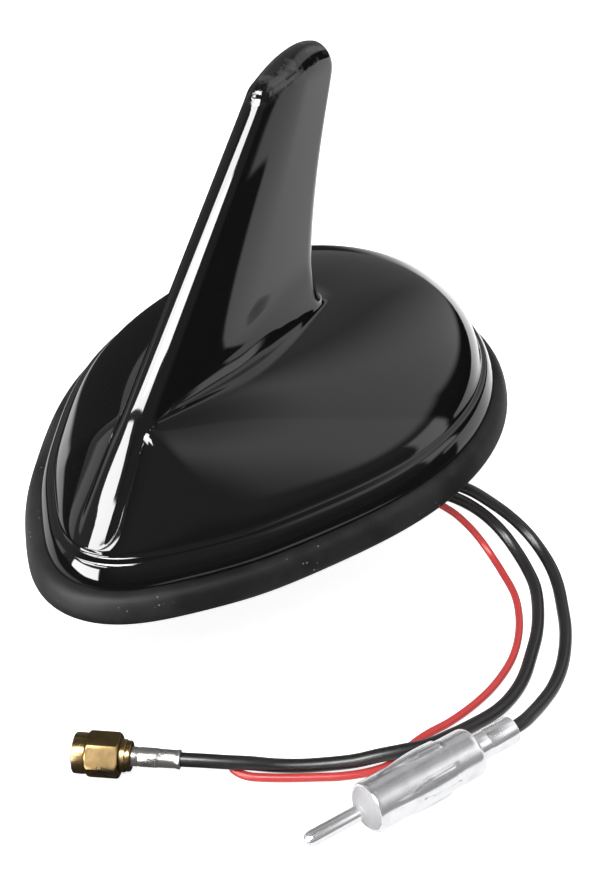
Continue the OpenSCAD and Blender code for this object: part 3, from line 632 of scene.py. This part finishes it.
def route(points, k, end=None):
    """A lead's points in metres, from its place on the grommet to its plug."""
    line = [exit_point(k)] + [Vector(p) * MM for p in points[1:]]
    return line + ([end] if end is not None else [])


gps_line = smooth_line(route(GPS, 0, SMA_AT), EXIT, sma_dir)
gps_cable = lay_cable("cable_satellite", gps_line, COAX_R, "coax_gps")
fm_line = smooth_line(route(FM, 1, DIN_AT), EXIT, din_dir)
fm_cable = lay_cable("cable_radio", fm_line, COAX_R, "coax_fm")
feed_line = smooth_line(route(WIRE, -1), EXIT, TIP_DIR)
feed = lay_cable("wire_feed", feed_line, WIRE_R, "feed_wire")


# Material tools
class Wire:
    """A node socket that takes part in arithmetic."""

    def __init__(self, nodes, socket):
        self.nodes, self.socket = nodes, socket

    def __add__(self, x):
        return self.nodes.math("ADD", self, x)

    def __mul__(self, x):
        return self.nodes.math("MULTIPLY", self, x)

    def __sub__(self, x):
        return self.nodes.math("SUBTRACT", self, x)

    def __rsub__(self, x):
        return self.nodes.math("SUBTRACT", x, self)

    def __truediv__(self, x):
        return self.nodes.math("DIVIDE", self, x)

    def __pow__(self, x):
        return self.nodes.math("POWER", self, x)

    __radd__, __rmul__ = __add__, __mul__


class Nodes:
    """A node tree, to which expressions on its sockets add nodes."""

    def __init__(self, tree):
        self.tree = tree

    def node(self, kind, settings=None, inputs=None, out=0):
        n = self.tree.nodes.new(kind)
        for k, v in (settings or {}).items():
            setattr(n, k, v)
        for k, v in (inputs or {}).items():
            if isinstance(v, Wire):
                self.tree.links.new(v.socket, n.inputs[k])
            else:
                n.inputs[k].default_value = v
        return Wire(self, n.outputs[out])

    def math(self, kind, *values):
        return self.node("ShaderNodeMath", {"operation": kind}, dict(enumerate(values)))

    def larger(self, a, b):
        return self.math("MAXIMUM", a, b)

    def part_of(self, vector, k):
        return self.node("ShaderNodeSeparateXYZ", None, {0: vector}, out=k)

    def between(self, value, low, high, to_low=0.0, to_high=1.0):
        """A smooth step from one value to another between two limits."""
        return self.node("ShaderNodeMapRange", {"interpolation_type": "SMOOTHSTEP"},
                         {0: value, 1: low, 2: high, 3: to_low, 4: to_high})

    def band(self, value, low, high, soft):
        """1 between two limits, 0 outside, with soft edges."""
        return (self.between(value, low - soft, low + soft)
                * self.between(value, high - soft, high + soft, 1.0, 0.0))

    def ray(self, kind):
        return self.node("ShaderNodeLightPath", out=f"Is {kind} Ray")


class Paint(Nodes):
    """One material: a Principled shader and the nodes that feed it."""

    def __init__(self, name, **fixed):
        self.material = bpy.data.materials.new(name)
        self.material.use_nodes = True
        super().__init__(self.material.node_tree)
        self.shader = self.tree.nodes["Principled BSDF"]
        for socket, value in fixed.items():
            self.shader.inputs[socket.replace("_", " ")].default_value = value
        self.material.diffuse_color = fixed["Base_Color"]

    def place(self):
        return self.node("ShaderNodeTexCoord", out="Object")

    def axis(self, k):
        return self.part_of(self.place(), k)

    def turned(self, turn, size):
        """The place on the piece, turned and stretched for a pattern with a direction."""
        return self.node("ShaderNodeMapping", {"vector_type": "TEXTURE"},
                         {"Vector": self.place(), "Rotation": turn, "Scale": size})

    def noise(self, scale, detail=3.0, rough=0.5, at=None):
        return self.node("ShaderNodeTexNoise", None,
                         {"Vector": at or self.place(), "Scale": scale, "Detail": detail,
                          "Roughness": rough})

    def cells(self, scale):
        """Distance to the nearest of many scattered points."""
        return self.node("ShaderNodeTexVoronoi", None, {"Vector": self.place(), "Scale": scale},
                         out="Distance")

    def blend(self, factor, a, b):
        """A colour between two."""
        return self.node("ShaderNodeMix", {"data_type": "RGBA"}, {0: factor, 6: a, 7: b}, out=2)

    def bump(self, height, distance, strength=1.0, under=None):
        inputs = {"Height": height, "Distance": distance, "Strength": strength}
        if under is not None:
            inputs["Normal"] = under
        return self.node("ShaderNodeBump", None, inputs)

    def feed(self, **links):
        for k, v in links.items():
            self.tree.links.new(v.socket, self.shader.inputs[k.replace("_", " ")])
        return self.material


def rgb(r, g, b):
    return (r, g, b, 1.0)


def grey(level):
    return rgb(level, level, level)


def dress(o, material):
    """Gives a piece of this script its finish."""
    o.data.materials.clear()
    o.data.materials.append(material)


def dress_node(name, material):
    """Gives a solid of the part its finish."""
    o = NODES[name]
    if not o.material_slots:
        o.data.materials.append(material)
    for m in o.material_slots:
        m.material = material


# Finishes
def gloss_black():
    """High gloss moulding with faint haze and dust, scuffed on the fin's top."""
    p = Paint("gloss_black_moulding", Base_Color=rgb(0.005, 0.005, 0.0055), Roughness=0.06, IOR=1.5)
    x, z = p.axis(0), p.axis(2)
    haze = p.noise(22, 4, 0.6)
    specks = p.between(p.cells(900), 0.05, 0.02)
    keep = p.between(p.noise(60, 2), 0.58, 0.64)
    dust = specks * keep
    top = p.between(z - x * 0.12, 0.0795, 0.0830)
    scuff = p.between(p.noise(190, 5, 0.62), 0.50, 0.58) * top
    rough = haze * 0.03 + 0.03 + scuff * 0.22 + dust * 0.3
    colour = p.blend(dust * 0.25 + scuff * 0.10, rgb(0.005, 0.005, 0.0055), rgb(0.35, 0.35, 0.36))
    soft = p.bump(p.noise(35, 2), 0.00003, 0.25)
    return p.feed(Roughness=rough, Base_Color=colour, Normal=p.bump(scuff, 0.00004, 0.6, soft))


def seal_rubber():
    """Dull rubber, rubbed paler in places, with pale flecks of dust."""
    p = Paint("seal_rubber", Base_Color=rgb(0.014, 0.014, 0.0145), Roughness=0.6, IOR=1.3)
    grain = p.noise(1500, 3, 0.6)
    cloud = p.noise(70, 4, 0.6)
    flecks = p.between(p.cells(520), 0.13, 0.06) * p.between(p.noise(90, 2), 0.52, 0.58)
    rub = p.between(p.noise(240, 5, 0.7), 0.60, 0.72)
    tone = p.between(cloud, 0.35, 0.65) * 0.6 + rub * 0.4
    colour = p.blend(tone, rgb(0.004, 0.004, 0.0045), rgb(0.024, 0.024, 0.025))
    colour = p.blend(flecks * 0.7, colour, rgb(0.30, 0.29, 0.28))
    rough = cloud * 0.18 + rub * 0.12 + 0.50
    return p.feed(Base_Color=colour, Roughness=rough,
                  Normal=p.bump(grain, 0.00003, 0.5, p.bump(flecks, 0.00005, 0.5)))


def cable_jacket(name, dark, pale, rough_low):
    """Satin jacket with a fine grain and a few flecks."""
    p = Paint(name, Base_Color=dark, Roughness=rough_low, IOR=1.48)
    cloud = p.noise(160, 3, 0.55)
    fine = p.noise(1400, 2, 0.5)
    flecks = p.between(p.cells(800), 0.07, 0.03) * p.between(p.noise(120, 2), 0.6, 0.66)
    colour = p.blend(cloud * 0.6, dark, pale)
    colour = p.blend(flecks * 0.5, colour, rgb(0.4, 0.38, 0.36))
    return p.feed(Base_Color=colour, Roughness=cloud * 0.12 + rough_low,
                  Normal=p.bump(fine, 0.00002, 0.35))


def plated(name, base, worn, low, high, along=0.0, metal=1.0, dents=0.3):
    """Plated metal with fine turning lines across the piece's own direction."""
    p = Paint(name, Base_Color=base, Roughness=low, Metallic=metal)
    lines = p.noise(1.0, 2, 0.5, at=p.turned((0, 0, along), (1 / 1500, 1 / 90, 1 / 90)))
    cloud = p.noise(260, 4, 0.6)
    smear = p.noise(90, 3, 0.6)
    nick = p.between(p.cells(1100), 0.16, 0.06) * p.between(p.noise(210, 2), 0.60, 0.68)
    colour = p.blend(p.between(cloud, 0.42, 0.75) * 0.75 + nick * 0.25, base, worn)
    rough = p.between(smear, 0.3, 0.75, low, high) + lines * 0.05 + nick * 0.15
    normal = p.bump(lines, 0.00001, 0.5, p.bump(cloud, 0.00003, dents))
    return p.feed(Base_Color=colour, Roughness=rough, Normal=normal)


def pale_moulding(name, base, tint, rough):
    """Pale plastic or ceramic with a little grime."""
    p = Paint(name, Base_Color=base, Roughness=rough, IOR=1.46)
    cloud = p.noise(300, 4, 0.6)
    grime = p.between(p.noise(120, 5, 0.7), 0.5, 0.8)
    return p.feed(Base_Color=p.blend(grime * 0.6, base, tint), Roughness=cloud * 0.15 + rough,
                  Normal=p.bump(p.noise(1800, 2), 0.00002, 0.4))


def board_resist():
    """Green solder resist over tracks, with tinned pads."""
    p = Paint("board_resist", Base_Color=rgb(0.012, 0.11, 0.035), Roughness=0.3, IOR=1.5)
    tracks = p.node("ShaderNodeTexBrick", {"offset": 0.37, "squash": 1.4, "squash_frequency": 3},
                    {"Vector": p.place(), "Color1": grey(1), "Color2": grey(0.6),
                     "Mortar": grey(0), "Scale": 210.0, "Mortar Size": 0.012,
                     "Brick Width": 1.1, "Row Height": 0.42})
    line = p.node("ShaderNodeSeparateColor", None, {0: tracks})
    fine = p.noise(900, 2)
    colour = p.blend(line, rgb(0.035, 0.22, 0.07), rgb(0.010, 0.095, 0.030))
    colour = p.blend(p.between(p.cells(420), 0.12, 0.09) * 0.8, colour, rgb(0.55, 0.5, 0.38))
    return p.feed(Base_Color=colour, Roughness=fine * 0.2 + 0.2, Normal=p.bump(line, 0.00004, 0.6))


def winding():
    """Enamelled copper wire, turn beside turn, with painted shade between the turns."""
    p = Paint("enamelled_winding", Base_Color=rgb(0.45, 0.17, 0.06), Roughness=0.25, Metallic=0.9)
    turns = p.node("ShaderNodeTexWave", {"bands_direction": "Z", "wave_profile": "SIN"},
                   {"Vector": p.place(), "Scale": 400.0, "Distortion": 0.0})
    # the colour darkens in the grooves between the turns: painted shade
    colour = p.blend(turns, rgb(0.16, 0.05, 0.02), rgb(0.5, 0.2, 0.07))
    return p.feed(Base_Color=colour, Normal=p.bump(turns, 0.0002, 0.8))


THREAD_OF_STEM = 0.0015     # pitch in metres


def casting():
    """Raw zinc casting; the stem below it carries a rolled thread, with painted shade in its
    grooves.
    """
    p = Paint("zinc_casting", Base_Color=rgb(0.42, 0.43, 0.45), Roughness=0.45, Metallic=0.85)
    x, y, z = p.axis(0), p.axis(1), p.axis(2)
    grain = p.noise(700, 5, 0.65)
    cloud = p.noise(60, 4, 0.6)
    radius = (x * x + y * y) ** 0.5
    on_stem = p.between(radius, 0.0082, 0.0084) * p.between(radius, 0.0092, 0.0088)
    stem = on_stem * p.between(z, -0.0082, -0.0088)
    winding_turn = p.math("ARCTAN2", y, x) / (2 * pi)
    groove = p.math("PINGPONG", z / THREAD_OF_STEM + winding_turn, 0.5) * 2
    # the thread's grooves are painted near black: painted shade in the recesses
    dark = stem * p.between(groove, 0.45, 0.1)
    colour = p.blend(cloud * 0.6, rgb(0.46, 0.47, 0.49), rgb(0.30, 0.31, 0.33))
    colour = p.blend(dark * 0.75, colour, rgb(0.07, 0.07, 0.075))
    rough = grain * 0.25 + 0.3
    return p.feed(Base_Color=colour, Roughness=rough,
                  Normal=p.bump(groove * stem, 0.0009, 1.0, p.bump(grain, 0.00005, 0.5)))


black = gloss_black()
rubber = seal_rubber()
jacket = cable_jacket("cable_jacket", grey(0.010), rgb(0.022, 0.021, 0.021), 0.30)
red = cable_jacket("red_jacket", rgb(0.56, 0.045, 0.045), rgb(0.66, 0.075, 0.07), 0.30)
gold = plated("gold_plate", rgb(0.32, 0.22, 0.10), rgb(0.17, 0.11, 0.045), 0.2, 0.34, SMA_TURN,
              metal=0.95, dents=0.12)
crimp = plated("crimp_plate", rgb(0.38, 0.37, 0.36), rgb(0.22, 0.21, 0.20), 0.24, 0.38, SMA_TURN,
               metal=0.8, dents=0.4)
nickel = plated("nickel_plate", rgb(0.93, 0.93, 0.95), rgb(0.78, 0.78, 0.80), 0.12, 0.24, DIN_TURN,
                metal=0.82, dents=0.06)
white = pale_moulding("white_insulator", rgb(0.46, 0.45, 0.46), rgb(0.34, 0.33, 0.33), 0.62)
dull_black = cable_jacket("black_boot", grey(0.010), grey(0.02), 0.45)
strands = plated("tinned_strands", rgb(0.72, 0.70, 0.66), rgb(0.5, 0.42, 0.34), 0.3, 0.5, 1.03)
board = board_resist()
steel = plated("screw_steel", rgb(0.66, 0.66, 0.68), rgb(0.45, 0.45, 0.47), 0.22, 0.4)
tin = plated("tin_sheet", rgb(0.70, 0.70, 0.72), rgb(0.5, 0.5, 0.52), 0.25, 0.42)
nylon = pale_moulding("nylon_moulding", rgb(0.74, 0.73, 0.66), rgb(0.6, 0.58, 0.5), 0.45)
ceramic = pale_moulding("patch_ceramic", rgb(0.66, 0.62, 0.52), rgb(0.55, 0.5, 0.42), 0.6)

for piece, finish in ((cover, black), (seal, rubber), (gps_cable, jacket), (fm_cable, jacket),
                      (feed, red), (wire_tip, strands), (sma_nut, gold), (sma_body, gold),
                      (sma_pin, gold), (sma_ferrule, crimp), (din_barrel, nickel),
                      (din_pin, nickel), (din_sleeve, nickel), (sma_insulator, white),
                      (din_insulator, white), (din_boot, dull_black)):
    dress(piece, finish)
for name, finish in (("base_plate", casting()), ("grommet", dull_black), ("cover_screw", steel),
                     ("board_screw", steel), ("main_board", board), ("fin_board", board),
                     ("patch_board", board), ("shield_can", tin), ("top_load", tin),
                     ("tuner_chip", dull_black), ("coil", winding()), ("inner_coax", jacket),
                     ("inner_wire", red), ("patch_pin", strands), ("coil_former", nylon),
                     ("fin_socket", nylon), ("patch", ceramic)):
    dress_node(name, finish)

# Studio
CAMERA_AT, CAMERA_TURN = (-0.22466, -0.14143, 0.1852), (radians(56), 0, radians(-61.4))
LAMP_AT, LAMP_AIM, LAMP_SIZE, LAMP_POWER = (-0.65, -0.1, 1.03), (0, 0, 0.03), (0.7, 0.2), 10
FILL = 0.6              # the world's light on the object
FLOOR_GLOW = 0.78       # lifts the floor to white for the camera
BOX_LIGHT = 22.0        # the bright boxes, as glossy rays meet them

clear_selection()
bpy.ops.object.camera_add(location=CAMERA_AT, rotation=CAMERA_TURN)
camera = bpy.context.object
camera.data.lens = 36 * 1400 / 888
camera.data.sensor_width = 36
camera.data.sensor_fit = "AUTO"
camera.data.clip_start, camera.data.clip_end = 0.01, 20
bpy.context.scene.camera = camera

clear_selection()
bpy.ops.object.light_add(type="AREA", location=LAMP_AT)
lamp = bpy.context.object
lamp.name = "high_strip"
lamp.data.shape, lamp.data.energy = "RECTANGLE", LAMP_POWER
lamp.data.size, lamp.data.size_y = LAMP_SIZE
lamp.rotation_euler = (Vector(LAMP_AIM) - Vector(LAMP_AT)).to_track_quat("-Z", "Y").to_euler()

# the floor is white to the camera, and the gloss meets the dark and pale cards that lie on it
clear_selection()
bpy.ops.mesh.primitive_plane_add(size=12, location=(0, 0, FLOOR - 0.0001))
floor = bpy.context.object
floor.name = "studio_floor"
p = Paint("studio_floor", Base_Color=grey(0.85), Roughness=0.9)
x, y = p.axis(0), p.axis(1)
way = p.math("ARCTAN2", y + 0.006, x + 0.015)
far = p.between((x * x + y * y) ** 0.5, 0.42, 0.62)
right_card = (p.between(way + far * radians(7), radians(-46.6), radians(-44.8))
              * p.between(way, radians(24), radians(12)))
rear = (p.between(way, radians(-30), radians(-12)) * p.between(way, radians(16), radians(6))
        * 1.2 + 1)
near_card = p.between(((x + 0.04) ** 2 + (y + 0.10) ** 2) ** 0.5, 0.075, 0.055)
far_card = (p.between(((x + 0.03) ** 2 + (y - 0.04) ** 2) ** 0.5, 0.125, 0.1)
            * p.between(y, 0.03, 0.05) * 0.8)
lit = p.larger(p.larger(right_card * rear, near_card), far_card) * 0.98 + 0.03
glow = p.node("ShaderNodeEmission", None, {"Strength": p.ray("Camera") * FLOOR_GLOW})
cards = p.node("ShaderNodeEmission", None, {"Strength": lit})
plain = p.node("ShaderNodeAddShader", None, {0: Wire(p, p.shader.outputs[0]), 1: glow})
seen = p.node("ShaderNodeMixShader", None, {0: p.ray("Glossy"), 1: plain, 2: cards})
p.tree.links.new(seen.socket, p.tree.nodes["Material Output"].inputs[0])
dress(floor, p.material)

# the world is white to the camera and plain to the object, and the gloss meets the studio
world = bpy.data.worlds.new("studio")
bpy.context.scene.world = world
world.use_nodes = True
w = Nodes(world.node_tree)
direction = w.node("ShaderNodeTexCoord", out="Generated")
x, y, z = (w.part_of(direction, k) for k in range(3))
side = w.math("ARCTAN2", y, x)

# a large soft panel over the near side, cut off along a slanted lower edge
low_edge = w.math("MINIMUM", 0.053 - side * 0.66, 0.44)
panel = (w.between(side, radians(-97), radians(-64))
         * w.between(side, radians(-16), radians(12), 1.0, 0.25)
         * w.between(z - low_edge, -0.04, 0.05)
         * w.between(z, 0.72, 0.87, 1.0, 0.15))
# a dim front, darker under the panel, a low glow beside it and another behind
shade = w.band(side, radians(-44), radians(10), radians(2)) * 0.9
front = (w.between(y, 0.15, -0.45, 0.05, 0.2) * w.between(z, 0.1, 0.36, 0.45, 1.0)
         * (1 - shade))
low_glow = w.band(side, radians(-60), radians(-44.5), radians(1.5)) * w.band(z, 0.03, 0.35, 0.03)
behind = w.band(side, radians(93), radians(112), radians(2)) * w.between(z, 0.38, 0.3)
# the ceiling box seen in the fin's edge and the nose ridge: a flat outline one metre up
up = w.larger(z, 0.05)
across, along = x / up, y / up
far_edge = w.between(across + along * 0.368, -0.365, -0.385)
over_fin = w.band(across, -0.85, 1.0, 0.01) * w.band(along, -0.30, 3.0, 0.03)
over_nose = w.larger(w.band(across, -1.68, -1.25, 0.02) * w.band(along, -0.16, 1.12, 0.02),
                     w.band(across, -1.3, -0.965, 0.02) * w.band(along, 0.35, 1.12, 0.02))
ceiling_box = far_edge * w.larger(over_fin, over_nose)
# a low box ahead of the nose
ahead = w.math("ARCTAN2", y, x * -1)
low_box = w.band(ahead, radians(2), radians(48), 0.02) * w.band(z, -0.05, 0.33, 0.02)

glossy = (panel + low_glow * 1.4 + behind * 0.75 + front
          + w.larger(ceiling_box, low_box) * BOX_LIGHT)
light = w.ray("Glossy") * (glossy - FILL) + FILL
camera_ray = w.ray("Camera")
back = w.tree.nodes["Background"]
back.inputs["Color"].default_value = grey(1)
w.tree.links.new((camera_ray + (1 - camera_ray) * light).socket, back.inputs["Strength"])
bpy.context.scene.view_settings.view_transform = "Standard"
